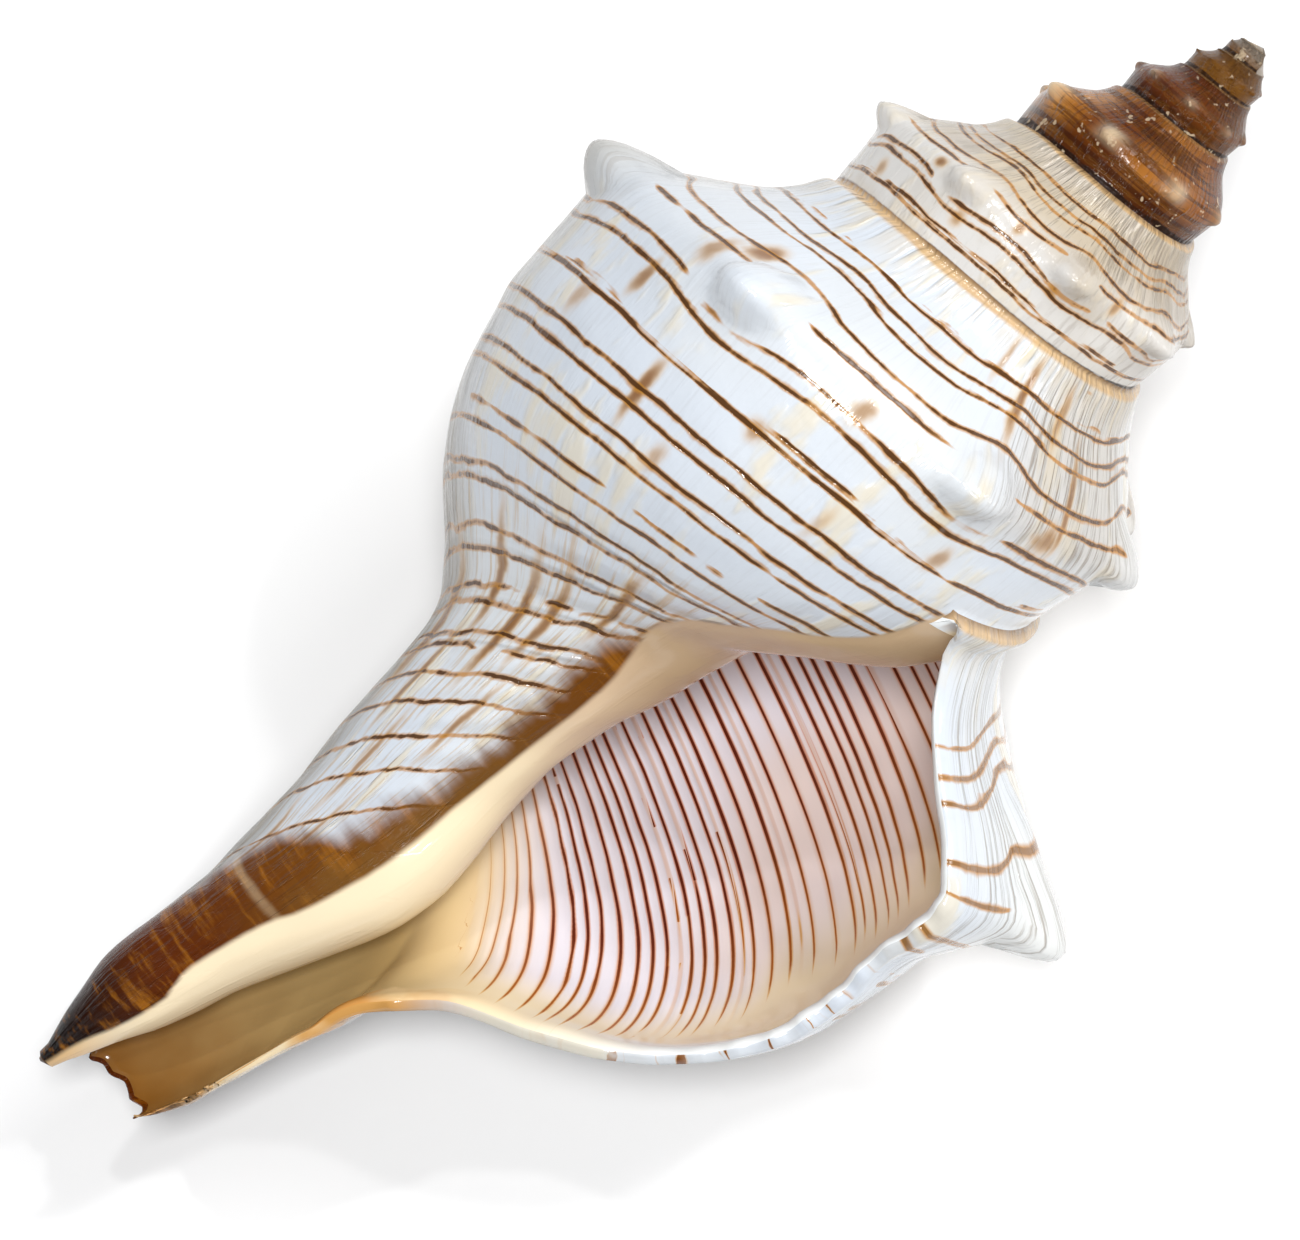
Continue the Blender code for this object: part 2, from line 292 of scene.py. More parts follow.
# Hollow behind the mouth. The wall's inner face is glazed, and opposite it stands the pillar,
# which is the whorl before, covered by the same glaze. They close on each other deep inside.
WALL = 2.4
WALL_AT_TIP = 0.8
THINNING_DROP = 118
THINNING_DROPS = 28
HOLLOW_TURNS = 0.5
CLOSING_TURNS = 0.10
wall_share = smooth_curve((52.9, 0.35), (57, 0.5), (62, 0.8), (68, 1))


def inner_wall(turn, drop):
    """Drop and radius of the inside, one wall thickness in from the outside."""
    reach = 0.05
    radius = outer_radius(turn, drop, with_knobs=False)
    ahead = outer_radius(turn, drop + reach, with_knobs=False)
    behind = outer_radius(turn, drop - reach, with_knobs=False)
    slope = (ahead - behind) / (2 * reach)
    thickness = WALL + (WALL_AT_TIP - WALL) * ease((drop - THINNING_DROP) / THINNING_DROPS)
    thickness = thickness * wall_share(drop / GROWTH**turn)
    across = np.sqrt(1 + slope * slope)
    return drop + thickness * slope / across, radius - thickness / across


hollow_rows = round(HOLLOW_TURNS * ROWS_PER_TURN)
pillar_turns = np.linspace(-1 - HOLLOW_TURNS, -1, hollow_rows + 1)[:, None]
pillar_drops = drops(pillar_turns)[:, first_pillar_column:]
keep_sheet(on_outside(pillar_turns, pillar_drops), pillar_turns, pillar_drops, 1)

inside_turns = -HOLLOW_TURNS + np.linspace(0, 1, hollow_rows + 1)[:, None] * (HOLLOW_TURNS + lip_end)
inside_drops = drops(inside_turns)
inside = place(inside_turns, *inner_wall(inside_turns, inside_drops))
nearest = columns * (pillar_drops.shape[1] - 1) / (len(columns) - 1)
for row in range(hollow_rows + 1):
    open_share = ease(row / ROWS_PER_TURN / CLOSING_TURNS)
    if open_share < 1:
        at = nearest if row else np.round(nearest)
        met_drop = np.interp(at, np.arange(pillar_drops.shape[1]), pillar_drops[row])
        closed = on_outside(inside_turns[row] - 1, met_drop)
        inside[row] = closed + (inside[row] - closed) * open_share
inside[:, 0] = on_outside(inside_turns - 1, INNER_SUTURE * GROWTH**inside_turns)[:, 0]
keep_sheet(inside, inside_turns, inside_drops, 0)

# Rim of the mouth and end of the canal, where the outer and the inner face meet in a rounded
# edge. The lip is thick and smooth, and the canal's end is thin, chipped and a little ragged.
LIP_ROUNDING = 1.0
TIP_ROUNDING = 0.8

azimuth = np.radians(360 * lip_end + LIP_AZIMUTH)
forward = np.stack([-np.sin(azimuth), -np.cos(azimuth), np.zeros(len(columns))], -1)
from_ends = np.minimum(1, np.minimum(columns, columns[::-1]) / 12)
lip = []
for part in np.linspace(0, 1, LIP_STEPS + 1):
    bulge = LIP_ROUNDING * math.sin(math.pi * part) * from_ends
    points = body[-1] + (inside[-1] - body[-1]) * part + forward * bulge[:, None]
    points[0] = on_outside(-1.0, SUTURE + (INNER_SUTURE - SUTURE) * part)
    lip.append(points)
half = LIP_STEPS // 2
keep_sheet(lip[: half + 1], lip_end, body_drops[-1], 1)
keep_sheet(lip[half:], lip_end, body_drops[-1], 0)

outer_end = body[-hollow_rows - 1 :, -1]
inner_end = inside[:, -1]
from_lip = np.minimum(1, np.arange(hollow_rows, -1, -1) / 12)
canal_end = []
for part in np.linspace(0, 1, LIP_STEPS + 1):
    points = outer_end + (inner_end - outer_end) * part
    points[:, 2] -= TIP_ROUNDING * math.sin(math.pi * part) * from_lip
    canal_end.append(points)
keep_sheet(canal_end[: half + 1], inside_turns[:, -1], inside_drops[:, -1], 1)
keep_sheet(canal_end[half:], inside_turns[:, -1], inside_drops[:, -1], 0)


# Brown spiral lines. The animal's skin lays them down as it grows, so they run round the whorls
# at nearly the same stations. Outside they sit in pairs, part round the knobs and drift towards
# the lip. Inside they are closer, and a few are only short dashes: station, first and last turn.
FRONT_LINES = [
    57.2, 59.2, 60.5, 63.6, 65.4, 70.0, 72.8, 78.9, 81.8, 88.3, 89.8, 96.4, 99.3, 104.1, 106.4, 111.4,
    113.9, 117.9, 119.5, 123.7, 125.9, 129.8, 132.2, 137.2, 139.6, 145, 151, 158, 166, 176,
]
LIP_LINES = [
    59.9, 61.8, 63.1, 64.8, 66.0, 69.2, 71.5, 76.4, 79.0, 83.4, 84.8, 89.0, 90.6, 94.9, 96.2, 98.0,
    99.6, 103.0, 104.7, 108.8, 110.5, 114.6, 116.8, 122, 124.5, 130, 136, 143, 151, 161,
]
LINE_STRENGTH = [
    0.0, 0.0, 0.85, 0.9, 0.95, 0.9, 0.85, 0.75, 1, 0.3, 0.95, 0.85, 1, 1, 0.95, 0.45,
    1, 0.95, 0.9, 0.95, 0.95, 0.6, 0.95, 0.75, 0.6, 0.8, 0.75, 0.7, 0.7, 0.6,
]
DEEP = -0.5
SHORT = 0.0
MOUTH_LINES = [
    (58.5, DEEP, SHORT), (60.4, DEEP, SHORT), (62.3, DEEP, SHORT), (64.1, DEEP, SHORT),
    (65.9, DEEP, SHORT), (67.8, DEEP, SHORT), (69.6, DEEP, SHORT), (71.5, DEEP, SHORT),
    (73.4, DEEP, SHORT), (75.6, DEEP, SHORT), (77.9, DEEP, SHORT), (80.7, -0.27, SHORT),
    (82.1, DEEP, SHORT), (84.2, DEEP, SHORT), (85.8, DEEP, SHORT), (87.3, DEEP, SHORT),
    (89.1, DEEP, SHORT), (90.6, -0.22, -0.155), (91.8, DEEP, SHORT), (94.5, DEEP, SHORT),
    (97.4, DEEP, SHORT), (98.7, -0.215, -0.17), (99.8, DEEP, SHORT), (101.9, DEEP, SHORT),
    (103.8, DEEP, SHORT), (104.8, -0.225, -0.185), (105.8, DEEP, SHORT), (107.4, DEEP, SHORT),
    (108.5, -0.26, SHORT), (109.7, DEEP, SHORT), (110.6, -0.225, -0.19), (111.8, DEEP, SHORT),
    (112.9, DEEP, SHORT), (113.9, DEEP, SHORT), (115.1, DEEP, SHORT), (116.4, DEEP, SHORT),
    (117.3, -0.32, SHORT), (118.1, DEEP, SHORT), (119.3, DEEP, SHORT), (120.5, DEEP, SHORT),
    (121.6, DEEP, SHORT), (122.7, DEEP, SHORT), (123.9, DEEP, SHORT), (125.2, DEEP, SHORT),
]
FAR = 9.0
KNOB_PULL = 3.0
mouth_drift = smooth_curve((100, 0), (105, 4), (109, 8), (112, 12), (117, 16), (122, 20))
mouth_line_end = smooth_curve(
    (60, -0.13), (77, -0.165), (84, -0.15), (100, -0.145), (104, -0.11), (110, -0.08), (114, -0.06),
    (118, -0.06), (121, -0.09), (126, -0.16),
)


def counted(lines, station):
    """Number of the line at a station, with the fraction of the way to the next one."""
    numbers = np.arange(len(lines))
    below = station - lines[0]
    above = station - lines[-1]
    inner = smooth_curve(*zip(lines, numbers))(station)
    return inner + np.minimum(below, 0) / 2 + np.maximum(above, 0) / 12


def outside_line(turn, station):
    pull = (station - KNOB_STATION) / 5 * bell((station - KNOB_STATION) / 9)
    pulled = station - KNOB_PULL * bell(near_knob(turn) / 0.03) * pull
    front, lip_side = counted(FRONT_LINES, pulled), counted(LIP_LINES, pulled)
    return front + (lip_side - front) * towards_lip(turn)


def mouth_line(turn, station):
    drifted = station + mouth_drift(station) * (turn + 0.25)
    return counted([line[0] for line in MOUTH_LINES], drifted)


# Turn where the brown band ends, by the drop down the pillar
band_edge = smooth_curve(
    (60, -1.1), (72, -1.0), (78, -0.905), (83, -0.875), (90, -0.885), (96, -0.90), (104, -0.895),
    (107, -0.875), (111, -0.86), (113, -0.84), (115, -0.80), (117, -0.74), (120, -0.70), (124, -0.67),
    (128, -0.655), (131, -0.62), (134, -0.4), (138, 0.2),
)

SHORT_WAY = 0.05


def marks_of(turn, drop, outer):
    """What the finish needs to know at each point: where it lies and which brown line is nearest."""
    station = drop / GROWTH**turn
    find = outside_line if outer else mouth_line
    line = find(turn, station)
    pace = 2 * SHORT_WAY * GROWTH**turn
    pace = pace / np.maximum(find(turn, station + SHORT_WAY) - find(turn, station - SHORT_WAY), 1e-4)
    slope = outer_radius(turn, drop + SHORT_WAY, False) - outer_radius(turn, drop - SHORT_WAY, False)
    pace = pace * np.hypot(1, slope / (2 * SHORT_WAY))
    if outer:
        strength = np.interp(line, np.arange(len(LINE_STRENGTH)), LINE_STRENGTH)
        first, last = np.full(line.shape, -FAR), np.full(line.shape, FAR)
        past_lines = first
    else:
        number = np.clip(np.round(line), 0, len(MOUTH_LINES) - 1).astype(int)
        _, starts, ends = np.array(MOUTH_LINES).T
        strength = np.interp(station, [117, 120, 123, 125], [1, 0.6, 0.3, 0])
        first = starts[number] - 0.06 * (starts[number] == DEEP)
        last = np.where(ends[number] == SHORT, mouth_line_end(station), ends[number])
        past_lines = turn - mouth_line_end(station)
    round_mm = 2 * math.pi * np.maximum(outer_radius(turn, drop, False), 1)
    in_last_turn = (turn >= -1) | (station > 95)
    return dict(
        turn=turn,
        station=station,
        drop=drop,
        line=line,
        pace=pace,
        strength=strength,
        first=first,
        last=last,
        past_lines=past_lines,
        to_lip=(lip_turn(station) - turn) * round_mm,
        to_callus=np.where(in_last_turn, (callus_edge(drop) - turn) * round_mm, -FAR),
        to_band=np.where(in_last_turn, (band_edge(drop) - turn) * round_mm, -FAR),
        knob=bell(near_knob(turn) / KNOB_HALF_TURN),
    )


bm = bmesh.new()
layers = {}
for points, turn, drop, outer in sheets:
    marks = marks_of(turn, drop, outer)
    rows, across = points.shape[0] - 1, points.shape[1] - 1
    if not layers:
        layers = {name: bm.loops.layers.float.new(name) for name in marks}
    made = len(bm.faces)
    grid = bmesh.ops.create_grid(bm, x_segments=rows, y_segments=across, size=1.0)
    place_of = {}
    for vert in grid["verts"]:
        row = round((vert.co.x + 1) / 2 * rows)
        column = round((vert.co.y + 1) / 2 * across)
        place_of[vert] = row, column
        vert.co = points[row, column] / 1000
    named = [(layers[name], marks[name]) for name in marks]
    bm.faces.ensure_lookup_table()
    for face in bm.faces[made:]:
        face.material_index = 0 if outer else 1
        face.smooth = True
        for corner in face.loops:
            at = place_of[corner.vert]
            for layer, values in named:
                corner[layer] = values[at]
bmesh.ops.remove_doubles(bm, verts=bm.verts, dist=2e-6)

# Low cones close the apex and the end of the pillar, the only two openings that are left
APEX_RISE = 0.0012
PILLAR_RISE = 0.0006
PILLAR_END_TURN = -1.3
NO_LIP = 99.0

open_edges = [edge for edge in bm.edges if edge.is_boundary]
ends = bmesh.ops.holes_fill(bm, edges=open_edges, sides=0)["faces"]
for centre in bmesh.ops.poke(bm, faces=ends)["verts"]:
    at_apex = centre.co.z > -0.05
    centre.co.z += APEX_RISE if at_apex else -PILLAR_RISE
    for face in centre.link_faces:
        face.smooth = True
        for corner in face.loops:
            corner[layers["turn"]] = FIRST_TURN if at_apex else PILLAR_END_TURN
            corner[layers["drop"]] = 0.0 if at_apex else TIP_DROP
            corner[layers["first"]] = FAR
            corner[layers["station"]] = SUTURE + 20 if at_apex else 2 * NECK
            corner[layers["to_lip"]] = NO_LIP
            corner[layers["to_callus"]] = -FAR
            corner[layers["to_band"]] = -FAR if at_apex else FAR
bmesh.ops.recalc_face_normals(bm, faces=bm.faces)

# Growth is never quite even: the wall swells and sinks a little. It is drawn in by a hair as well,
# so that the whole shell stays within the size of its solid.
SWELL = 0.32
SWELL_SPACING = 11
RIPPLE = 0.16
RIPPLE_SPACING = 4.5
SINK = 0.3

bm.normal_update()
for vert in bm.verts:
    where = vert.co * 1000
    uneven = SWELL * noise.noise(where / SWELL_SPACING) + RIPPLE * noise.noise(where / RIPPLE_SPACING)
    vert.co += vert.normal * (uneven - SINK) / 1000

# The shell lies on its belly and two knobs, at the place its solid has
PITCH = -12.71
ROLL = 16.27
lay = Matrix(((0, 0, 1), (-1, 0, 0), (0, -1, 0))).to_4x4()
settle = Matrix.Rotation(math.radians(ROLL), 4, "X") @ Matrix.Rotation(math.radians(PITCH), 4, "Y")
bmesh.ops.transform(bm, matrix=settle @ lay, verts=bm.verts)
low = Vector(np.min([vert.co for vert in bm.verts], axis=0))
high = Vector(np.max([vert.co for vert in bm.verts], axis=0))
solid_low, solid_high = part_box("shell")
fit = min(b / a for a, b in zip(high - low, solid_high - solid_low))
middle, solid_middle = (low + high) / 2, (solid_low + solid_high) / 2
middle.z, solid_middle.z = low.z, solid_low.z
seat = Matrix.Translation(solid_middle) @ Matrix.Scale(fit, 4) @ Matrix.Translation(-middle)
bmesh.ops.transform(bm, matrix=seat, verts=bm.verts)

mesh = bpy.data.meshes.new("conch")
bm.to_mesh(mesh)
bm.free()
conch = bpy.data.objects.new("conch", mesh)
bpy.context.scene.collection.objects.link(conch)


# Finish of the outside. Polished porcelain-white shell with brown lines, tan growth streaks, a
# brown pillar band and canal, and an amber spire whose tip is worn back to pale grey.
def colour(red, green, blue):
    """Linear colour from the 0 to 255 numbers of a paint chart."""
    shares = [part / 255 for part in (red, green, blue)]
    linear = [((c + 0.055) / 1.055) ** 2.4 if c > 0.04 else c / 12.92 for c in shares]
    return (*linear, 1.0)


MILLIMETRE = 0.001


class Bench:
    """Adds nodes to one material or group and returns what each puts out."""

    def __init__(self, tree):
        self.tree = tree

    def feed(self, socket, value):
        """Links the socket to what another node puts out, or sets it to a plain value."""
        if isinstance(value, bpy.types.NodeSocket):
            self.tree.links.new(value, socket)
        elif value is not None:
            socket.default_value = value

    def node(self, kind, *values, out=0, **settings):
        made = self.tree.nodes.new(kind)
        for name, value in settings.items():
            setattr(made, name, value)
        sockets = [s for s in made.inputs if s.enabled]
        for socket, value in zip(sockets, values):
            self.feed(socket, value)
        return made.outputs[out]

    def mark(self, name):
        return self.node("ShaderNodeAttribute", out=2, attribute_name=name)

    def sum(self, operation, *values):
        return self.node("ShaderNodeMath", *values, operation=operation)

    def times(self, a, b):
        return self.sum("MULTIPLY", a, b)

    def plus(self, a, b):
        return self.sum("ADD", a, b)

    def less(self, a, b):
        return self.sum("SUBTRACT", a, b)

    def rise(self, value, start, end, low=0.0, high=1.0):
        """Smooth step of the value from start to end."""
        return self.node(
            "ShaderNodeMapRange", value, start, end, low, high, interpolation_type="SMOOTHSTEP"
        )

    def fall(self, value, start, end):
        return self.rise(value, start, end, 1.0, 0.0)

    def point(self, x=0.0, y=0.0, z=0.0):
        return self.node("ShaderNodeCombineXYZ", x, y, z)

    def cloud(self, where, scale, detail=2.0, rough=0.5):
        return self.node("ShaderNodeTexNoise", where, scale, detail, rough)

    def blend(self, share, first, second):
        """The first colour, with this share of the second laid over it."""
        made = self.tree.nodes.new("ShaderNodeMix")
        made.data_type = "RGBA"
        made.clamp_factor = True
        for place, value in ((0, share), (6, first), (7, second)):
            self.feed(made.inputs[place], value)
        return made.outputs[2]

    def group(self, effect, **values):
        """An effect placed in this tree. Names use _ for a space."""
        made = self.tree.nodes.new("ShaderNodeGroup")
        made.node_tree = effect
        for name, value in values.items():
            self.feed(made.inputs[name.replace("_", " ")], value)
        return made.outputs


def new_effect(name, taken, given):
    """A node group of number sockets, with the bench, the entry and the exit to build it with."""
    tree = bpy.data.node_groups.new(name, "ShaderNodeTree")
    for socket in taken:
        tree.interface.new_socket(socket, in_out="INPUT", socket_type="NodeSocketFloat")
    for socket in given:
        tree.interface.new_socket(socket, in_out="OUTPUT", socket_type="NodeSocketFloat")
    entry = tree.nodes.new("NodeGroupInput").outputs
    leave = tree.nodes.new("NodeGroupOutput").inputs
    return tree, Bench(tree), entry, leave


# Brown lines: an ochre stroke with a dark core that comes and goes, beaded like a row of knots, and
# broken into dashes where the animal laid down little colour
spiral_lines, b, take, leave = new_effect(
    "Spiral lines",
    [
        "Line", "Pace", "Strength", "Turn", "First", "Last", "Width", "Wobble", "Broken", "Beading",
        "Core share",
    ],
    ["Core", "Stroke"],
)
number = b.sum("ROUND", take["Line"])
waver = b.cloud(b.point(b.times(take["Turn"], 24), b.times(number, 7.1), 2.0), 1.0, 3.0)
shift = b.times(b.less(waver, 0.5), take["Wobble"])
away = b.sum("ABSOLUTE", b.plus(b.times(b.less(take["Line"], number), take["Pace"]), shift))
beads = b.cloud(b.point(b.times(take["Turn"], 120), b.times(number, 5.3)), 1.0, 2.0, 0.7)
swell = b.cloud(b.point(b.times(take["Turn"], 26), b.times(number, 3.1), 9.0), 1.0, 2.0)
pauses = b.cloud(b.point(b.times(take["Turn"], 15), b.times(number, 3.7), 4.0), 1.0, 2.0)
needed = b.less(0.72, b.times(take["Strength"], 0.45))
needed = b.times(needed, take["Broken"])
kept = b.rise(pauses, b.less(needed, 0.05), b.plus(needed, 0.05))
begun = b.rise(take["Turn"], take["First"], b.plus(take["First"], 0.04))
ending = b.fall(take["Turn"], b.less(take["Last"], 0.03), take["Last"])
present = b.times(kept, b.times(begun, ending))
knots = b.less(b.plus(b.times(beads, 1.2), b.times(swell, 1.3)), 1.25)
half = b.times(take["Width"], b.plus(1.0, b.times(knots, take["Beading"])))
half = b.times(half, b.plus(0.25, b.times(present, 0.75)))
stroke = b.times(b.fall(away, b.times(half, 0.45), b.times(half, 1.25)), b.rise(present, 0, 0.5))
dark = b.plus(b.times(swell, 0.7), b.times(beads, 0.3))
dark = b.rise(dark, b.less(0.78, take["Core share"]), b.less(0.92, take["Core share"]))
core_half = b.times(half, b.plus(0.25, b.times(dark, 0.38)))
core = b.times(b.fall(away, b.times(core_half, 0.5), core_half), b.times(dark, b.rise(present, 0.35, 0.9)))
b.feed(leave["Core"], core)
b.feed(leave["Stroke"], stroke)

# Growth streaks: axial lines, one for each pause in growth, from hair-thin to broad and faint
growth_streaks, b, take, leave = new_effect(
    "Growth streaks", ["Turn", "Station", "Density"], ["Hair", "Fine", "Broad", "Ribs"]
)
slant = b.plus(b.times(take["Turn"], take["Density"]), b.times(take["Station"], 0.03))
hair = b.cloud(b.point(b.times(slant, 3.0), b.times(take["Station"], 0.07), 3.0), 1.0, 3.0, 0.6)
fine = b.cloud(b.point(slant, b.times(take["Station"], 0.06)), 1.0, 4.0, 0.65)
broad = b.cloud(b.point(b.times(slant, 0.25), b.times(take["Station"], 0.05), 7.0), 1.0, 3.0, 0.6)
b.feed(leave["Hair"], b.rise(hair, 0.5, 0.66))
b.feed(leave["Fine"], b.rise(fine, 0.5, 0.66))
b.feed(leave["Broad"], b.rise(broad, 0.52, 0.66))
ribs = b.cloud(b.point(b.times(slant, 0.8), b.times(take["Station"], 0.04), 5.0), 1.0, 1.0)
b.feed(leave["Ribs"], b.rise(ribs, 0.4, 0.6))

# Stain: a soft patch drawn out along the axis, with a ragged edge
stain_patch, b, take, leave = new_effect(
    "Stain",
    ["Turn", "Station", "Ragged", "At turn", "Half turn", "At station", "Half station", "Strength"],
    ["Stain"],
)
aside = b.plus(b.less(take["Turn"], take["At turn"]), b.times(take["Ragged"], take["Half turn"]))
aside = b.sum("DIVIDE", aside, take["Half turn"])
along = b.sum("DIVIDE", b.less(take["Station"], take["At station"]), take["Half station"])
distance = b.sum("SQRT", b.plus(b.times(aside, aside), b.times(along, along)))
patch = b.times(b.fall(distance, 0.1, 1.2), take["Strength"])
b.feed(leave["Stain"], patch)


def new_finish(name, roughness):
    finish = bpy.data.materials.new(name)
    finish.use_nodes = True
    surface = finish.node_tree.nodes["Principled BSDF"]
    surface.inputs["Roughness"].default_value = roughness
    return finish, surface, Bench(finish.node_tree)


# Stains: turn, half its width in turns, station, half its length in stations, strength
STAINS = [
    (-1.005, 0.012, 75.5, 4.0, 0.8), (-1.015, 0.005, 70.0, 11.0, 0.95), (-0.872, 0.008, 77.0, 4.5, 0.7),
    (-0.768, 0.011, 69.5, 3.2, 1.0), (-0.757, 0.012, 74.0, 5.0, 0.7), (-0.785, 0.006, 96.5, 8.0, 1.0),
    (-0.815, 0.008, 103.0, 4.0, 0.6), (-0.900, 0.006, 95.0, 6.0, 0.5), (-0.845, 0.010, 90.0, 3.0, 0.7),
    (-0.740, 0.006, 84.0, 5.0, 0.8), (-0.715, 0.008, 92.0, 5.0, 0.6), (-0.960, 0.009, 88.0, 4.0, 0.7),
    (-0.855, 0.009, 127.0, 10.0, 0.95), (-0.800, 0.010, 133.0, 13.0, 0.9), (-0.765, 0.012, 135.0, 16.0, 1),
    (-0.718, 0.010, 129.0, 12.0, 0.9), (-0.650, 0.015, 136.0, 16.0, 0.95), (-0.700, 0.009, 146, 14, 0.85),
    (-0.900, 0.007, 128.0, 8.0, 0.7), (-0.820, 0.010, 155.0, 13.0, 0.8), (-0.740, 0.010, 163.0, 14.0, 0.75),
    (-0.590, 0.014, 142.0, 16.0, 0.9), (-0.780, 0.009, 180.0, 14.0, 0.7), (-0.680, 0.010, 176.0, 12.0, 0.7),
    (-1.752, 0.012, 76.0, 2.6, 0.9), (-1.845, 0.007, 74.5, 4.0, 0.8), (-1.960, 0.008, 74.0, 5.0, 0.8),
    (-1.800, 0.010, 84.0, 4.0, 0.7), (-1.900, 0.012, 82.0, 3.0, 0.7), (-1.700, 0.010, 87.0, 4.0, 0.7),
    (-0.945, 0.007, 61.0, 9.0, 0.95), (-0.915, 0.005, 58.0, 6.0, 0.6), (-0.985, 0.007, 60.0, 7.0, 0.75),
]

LINE_WIDTH = 0.49

outer_glaze, surface, b = new_finish("outer glaze", 0.12)
where = b.node("ShaderNodeTexCoord", out=3)
turn, station, drop = b.mark("turn"), b.mark("station"), b.mark("drop")
to_lip = b.mark("to_lip")
mottle = b.cloud(where, 90, 3.0)
soft = b.cloud(where, 25, 2.0)
grit = b.cloud(where, 900, 2.0, 0.6)
size = b.sum("POWER", GROWTH, turn)
fading = b.sum("MAXIMUM", b.rise(to_lip, 2.0, 5.0), b.fall(station, 82, 86))
on_knob = b.sum("POWER", b.mark("knob"), 2.0)
on_knob = b.times(on_knob, b.times(b.rise(station, 67, 71), b.fall(station, 78, 83)))
fading = b.times(fading, b.less(1.0, b.times(on_knob, 0.9)))
on_neck = b.rise(station, 112, 122)
whorl_2 = b.fall(turn, -1.4, -1.2)
lines = b.group(
    spiral_lines, Line=b.mark("line"), Pace=b.mark("pace"),
    Strength=b.times(b.mark("strength"), fading), Turn=turn, First=-FAR, Last=FAR,
    Width=b.times(b.plus(LINE_WIDTH, b.times(on_neck, 0.06)), b.sum("POWER", size, 0.5)),
    Wobble=b.plus(1.0, b.times(on_neck, 1.2)), Broken=b.less(1.0, b.times(on_neck, 0.06)), Beading=0.9,
    Core_share=b.less(0.45, b.times(b.sum("MAXIMUM", whorl_2, on_neck), 0.07)),
)
streaks = b.group(growth_streaks, Turn=turn, Station=station, Density=150.0)

# Last whorl: cool white, with faint golden streaks and grey hairlines where growth was crowded, and painted
# shade greying its left side towards the silhouette
COOL_WHITE = colour(206, 213, 222)
SOFT_WHITE = colour(218, 219, 217)
GOLDEN_STREAK = colour(228, 206, 152)
OCHRE_STREAK = colour(190, 150, 86)
LEFT_SIDE_SHADE = colour(184, 178, 166)
FAR_SIDE_SHADE = colour(126, 118, 104)
CROWDED_TAN = colour(172, 156, 132)
HAIRLINE_GREY = colour(128, 112, 92)

older = b.fall(b.plus(turn, b.times(b.less(mottle, 0.5), 0.3)), -1.22, -1.08)
tone = b.blend(b.rise(soft, 0.35, 0.65), COOL_WHITE, SOFT_WHITE)
tone = b.blend(b.times(streaks["Broad"], 0.4), tone, GOLDEN_STREAK)
tone = b.blend(b.times(streaks["Fine"], b.times(on_neck, 0.55)), tone, OCHRE_STREAK)
lip_side = b.times(b.rise(turn, -0.14, -0.1), b.rise(to_lip, 1.0, 3.0))
left_side = b.times(b.rise(turn, -0.7, -0.6), b.fall(turn, -0.2, -0.14))
crowded = b.times(b.rise(turn, -1.13, -1.06), b.fall(turn, -0.99, -0.925))
crowded = b.times(crowded, b.fall(station, 74, 84))
hairy = b.sum("MAXIMUM", crowded, b.sum("MAXIMUM", b.times(lip_side, 0.8), b.times(left_side, 0.75)))
far_left_shade = b.times(b.rise(turn, -0.69, -0.62), b.fall(turn, -0.3, -0.2))
# Painted shade: the left side is greyed, and darker still at the far left towards the silhouette, where the
# light falls off
tone = b.blend(b.times(left_side, 0.3), tone, LEFT_SIDE_SHADE)
tone = b.blend(b.times(far_left_shade, 0.65), tone, FAR_SIDE_SHADE)
tone = b.blend(b.times(crowded, 0.5), tone, CROWDED_TAN)
tone = b.blend(b.times(streaks["Hair"], b.plus(0.06, b.times(hairy, 0.7))), tone, HAIRLINE_GREY)

# Ramp under the suture: pale golden ribs
PALE_RIB = colour(212, 190, 150)

ribbed = b.fall(station, 55.0, 60.5)
tone = b.blend(b.times(streaks["Ribs"], b.times(ribbed, 0.32)), tone, PALE_RIB)

# Earlier whorls: tan ramp with grey-brown hairlines and white knobs, and painted shade in patches on the
# right part of the second whorl
DULL_TAN = colour(172, 156, 134)
PALE_TAN = colour(200, 187, 166)
OLD_WHITE = colour(214, 206, 194)
RIGHT_SIDE_SHADE = colour(150, 134, 112)
CROSSING_BROWN = colour(104, 80, 56)

ramp = b.fall(b.plus(station, b.times(b.less(mottle, 0.5), 6)), 66, 74)
tan = b.blend(b.rise(mottle, 0.35, 0.65), DULL_TAN, PALE_TAN)
shaded_hairy_side = b.fall(b.plus(turn, b.times(soft, 0.3)), -1.95, -1.65)
tone = b.blend(b.times(older, 0.6), tone, OLD_WHITE)
tanned = b.plus(b.times(b.rise(mottle, 0.45, 0.6), 0.4), b.times(ramp, 0.7))
tone = b.blend(b.times(older, tanned), tone, tan)
# Painted shade: patchy grey-brown on the right part of the second whorl, where the hairlines are also
# stronger
greyed = b.times(shaded_hairy_side, b.times(b.rise(mottle, 0.3, 0.6), 0.6))
tone = b.blend(b.times(older, greyed), tone, RIGHT_SIDE_SHADE)
crossing = b.times(streaks["Fine"], b.plus(0.35, b.times(b.sum("MAXIMUM", ramp, shaded_hairy_side), 0.45)))
tone = b.blend(b.times(older, b.times(crossing, b.rise(soft, 0.35, 0.6))), tone, CROSSING_BROWN)

# Spire: amber to chestnut, with pale knobs, painted shade in the hollows under the knobs, and a worn grey
# tip
CHESTNUT = colour(76, 30, 3)
GOLDEN_CHESTNUT = colour(118, 62, 10)
AMBER = colour(108, 50, 5)
GOLDEN_AMBER = colour(206, 142, 64)
STREAK_BROWN = colour(84, 40, 6)
BANDED_BROWN = colour(62, 24, 3)
HOLLOW_SHADE_BROWN = colour(48, 18, 3)
PALE_KNOB = colour(232, 208, 172)
APEX_OLIVE = colour(100, 62, 14)
WORN_GREY = colour(140, 128, 114)

